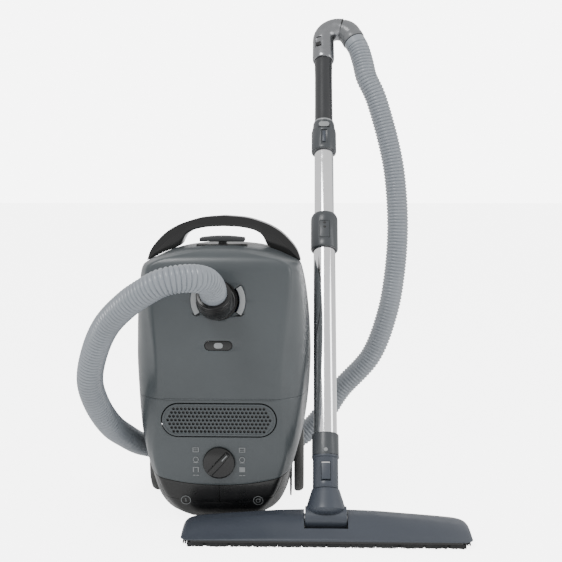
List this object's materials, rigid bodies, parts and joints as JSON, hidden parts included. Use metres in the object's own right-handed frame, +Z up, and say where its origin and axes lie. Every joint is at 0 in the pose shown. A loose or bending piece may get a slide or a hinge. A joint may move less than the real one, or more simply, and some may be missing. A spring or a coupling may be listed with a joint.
{
  "type": "canister vacuum cleaner",
  "caption": "Grey canister vacuum cleaner stood on its rear end, with a corrugated hose, a telescopic steel wand and a wide parquet floor brush.",
  "frame": {"origin": "on the floor at the middle of the footprint of everything except the hose", "axes": "+Z up, +X to the right seen from the front, +Y away from the front"},
  "size_m": [0.5623, 0.5534, 0.8008],
  "materials": {
    "body_plastic": "graphite grey moulded plastic with a satin gloss",
    "black_plastic": "black moulded plastic with a light gloss",
    "dark_plastic": "dark grey moulded plastic",
    "brush_plastic": "blue grey moulded plastic",
    "silver_plastic": "light silver grey plastic",
    "handle_lacquer": "metallic grey lacquer",
    "grip_plastic": "dark grey grip",
    "chrome_tube": "polished steel tube",
    "steel": "bare steel",
    "motor_metal": "cast and pressed motor casing",
    "rubber": "black rubber",
    "wheel_plastic": "grey wheel",
    "filter_fleece": "white filter fleece",
    "bag_fleece": "ivory fleece bag",
    "holder_plastic": "blue plastic plate",
    "board": "green circuit board",
    "bristle": "dark bristles",
    "hose_plastic": "silver grey corrugated plastic"
  },
  "bodies": {
    "canister": {"base_shell": "body_plastic", "rear_cover": "body_plastic", "pedal_frame": "black_plastic", "standing_feet": "rubber", "carry_handle": "black_plastic", "lid_hinge_pin": "steel", "lid_seal": "rubber", "exhaust_filter": "filter_fleece", "circuit_board": "board", "power_switch": "black_plastic", "motor": "motor_metal", "motor_mounts": "rubber", "motor_filter": "filter_fleece", "dust_chamber": "dark_plastic", "dust_bag": "bag_fleece", "bag_holder": "holder_plastic", "reel_bracket": "steel", "rear_axles": "steel", "cord_outlet": "rubber", "parking_bracket": "black_plastic", "shell_screws": "steel", "hose": "hose_plastic"},
    "lid": {"lid": "body_plastic", "bag_indicator": "black_plastic", "socket_ring": "black_plastic"},
    "latch": {"lid_latch": "dark_plastic"},
    "elbow": {"hose_elbow": "dark_plastic"},
    "button_left": {"elbow_button_left": "silver_plastic"},
    "button_right": {"elbow_button_right": "silver_plastic"},
    "grille": {"filter_grille": "body_plastic"},
    "knob": {"selector_knob": "black_plastic"},
    "pedal_power": {"power_pedal": "black_plastic"},
    "pedal_rewind": {"rewind_pedal": "black_plastic"},
    "fan": {"fan_impeller": "motor_metal"},
    "reel": {"cable_reel": "dark_plastic"},
    "wheel_left": {"rear_wheel_left": "wheel_plastic"},
    "wheel_right": {"rear_wheel_right": "wheel_plastic"},
    "castor": {"castor_fork": "black_plastic", "castor_pin": "steel"},
    "castor_roller": {"castor_wheel": "wheel_plastic"},
    "floor_brush": {"brush_top": "brush_plastic", "brush_sole": "dark_plastic", "brush_bristles": "bristle", "tilt_pin": "steel"},
    "knuckle": {"tilt_knuckle": "brush_plastic"},
    "lower_wand": {"neck": "brush_plastic", "lower_collar": "dark_plastic", "lower_tube": "chrome_tube", "mid_collar": "dark_plastic"},
    "tube_latch": {"neck_latch": "dark_plastic"},
    "length_button": {"telescope_button": "dark_plastic"},
    "upper_wand": {"upper_tube": "chrome_tube", "upper_collar": "dark_plastic", "handle_grip": "grip_plastic", "handle_elbow": "handle_lacquer"},
    "release_button": {"collar_button": "silver_plastic"},
    "air_valve": {"air_slide": "black_plastic"},
    "cuff": {"hose_cuff": "handle_lacquer"}
  },
  "joints": [
    {"name": "lid_open", "type": "hinge", "parent": "canister", "child": "lid", "pos_m": [-0.114, -0.1605, 0.1925], "axis": [1, 0, 0], "range_deg": [0, 85], "deforming": ["hose"]},
    {"name": "latch_press", "type": "slide", "parent": "lid", "child": "latch", "axis": [0, 0, -1], "range_m": [0, 0.004], "stiffness_N_per_m": 500, "springref_m": -0.001},
    {"name": "elbow_swivel", "type": "hinge", "parent": "lid", "child": "elbow", "pos_m": [-0.114, -0.161, 0.338], "axis": [0, 1, 0], "range_deg": [-90, 90], "deforming": ["hose"]},
    {"name": "button_left_press", "type": "slide", "parent": "lid", "child": "button_left", "axis": [1, 0, 0], "range_m": [0, 0.0015], "stiffness_N_per_m": 600},
    {"name": "button_right_press", "type": "slide", "parent": "lid", "child": "button_right", "axis": [-1, 0, 0], "range_m": [0, 0.0015], "stiffness_N_per_m": 600},
    {"name": "grille_open", "type": "hinge", "parent": "canister", "child": "grille", "pos_m": [-0.114, -0.161, 0.138], "axis": [1, 0, 0], "range_deg": [0, 80]},
    {"name": "selector_turn", "type": "hinge", "parent": "canister", "child": "knob", "pos_m": [-0.114, -0.161, 0.099], "axis": [0, 1, 0], "range_deg": [-175, 85]},
    {"name": "power_press", "type": "slide", "parent": "canister", "child": "pedal_power", "axis": [0, 1, 0], "range_m": [0, 0.004], "stiffness_N_per_m": 900},
    {"name": "rewind_press", "type": "slide", "parent": "canister", "child": "pedal_rewind", "axis": [0, 1, 0], "range_m": [0, 0.004], "stiffness_N_per_m": 900},
    {"name": "fan_spin", "type": "hinge", "parent": "canister", "child": "fan", "pos_m": [-0.166, -0.016, 0.12], "axis": [0, 0, 1], "continuous": true},
    {"name": "reel_spin", "type": "hinge", "parent": "canister", "child": "reel", "pos_m": [-0.074, -0.043, 0.102], "axis": [1, 0, 0], "continuous": true},
    {"name": "wheel_left_roll", "type": "hinge", "parent": "canister", "child": "wheel_left", "pos_m": [-0.234, 0.015, 0.0565], "axis": [1, 0, 0], "continuous": true},
    {"name": "wheel_right_roll", "type": "hinge", "parent": "canister", "child": "wheel_right", "pos_m": [0.006, 0.015, 0.0565], "axis": [1, 0, 0], "continuous": true},
    {"name": "castor_turn", "type": "hinge", "parent": "canister", "child": "castor", "pos_m": [-0.114, 0.039, 0.352], "axis": [0, 1, 0], "continuous": true},
    {"name": "castor_roll", "type": "hinge", "parent": "castor", "child": "castor_roller", "pos_m": [-0.114, 0.055, 0.343], "axis": [1, 0, 0], "continuous": true},
    {"name": "brush_move", "type": "slide", "parent": "canister", "child": "floor_brush", "axis": [1, 0, 0], "range_m": [0, 0.15], "deforming": ["hose"]},
    {"name": "brush_tilt", "type": "hinge", "parent": "floor_brush", "child": "knuckle", "pos_m": [0.042, -0.193, 0.028], "axis": [-1, 0, 0], "range_deg": [-26, 23], "deforming": ["hose"]},
    {"name": "wand_swivel", "type": "hinge", "parent": "knuckle", "child": "lower_wand", "pos_m": [0.042, -0.193, 0.028], "axis": [0, 0.4848, 0.8746], "range_deg": [-90, 90], "deforming": ["hose"]},
    {"name": "tube_latch_press", "type": "slide", "parent": "lower_wand", "child": "tube_latch", "axis": [0, 0.8746, -0.4848], "range_m": [0, 0.0012], "stiffness_N_per_m": 900, "springref_m": -0.0005},
    {"name": "telescope", "type": "slide", "parent": "lower_wand", "child": "upper_wand", "axis": [0, 0.4848, 0.8746], "range_m": [-0.098, 0.14], "deforming": ["hose"]},
    {"name": "length_button_press", "type": "slide", "parent": "lower_wand", "child": "length_button", "axis": [0, 0.8746, -0.4848], "range_m": [0, 0.0015], "stiffness_N_per_m": 900, "springref_m": -0.0005},
    {"name": "release_button_press", "type": "slide", "parent": "upper_wand", "child": "release_button", "axis": [0, 0.8746, -0.4848], "range_m": [0, 0.0018], "stiffness_N_per_m": 900, "springref_m": -0.0005},
    {"name": "air_valve_slide", "type": "slide", "parent": "upper_wand", "child": "air_valve", "axis": [0, 0.4848, 0.8746], "range_m": [0, 0.011]},
    {"name": "cuff_turn", "type": "hinge", "parent": "upper_wand", "child": "cuff", "pos_m": [0.07473, 0.22448, 0.78115], "axis": [0.9659, -0.1255, -0.2264], "range_deg": [-75, 75], "deforming": ["hose"]}
  ]
}
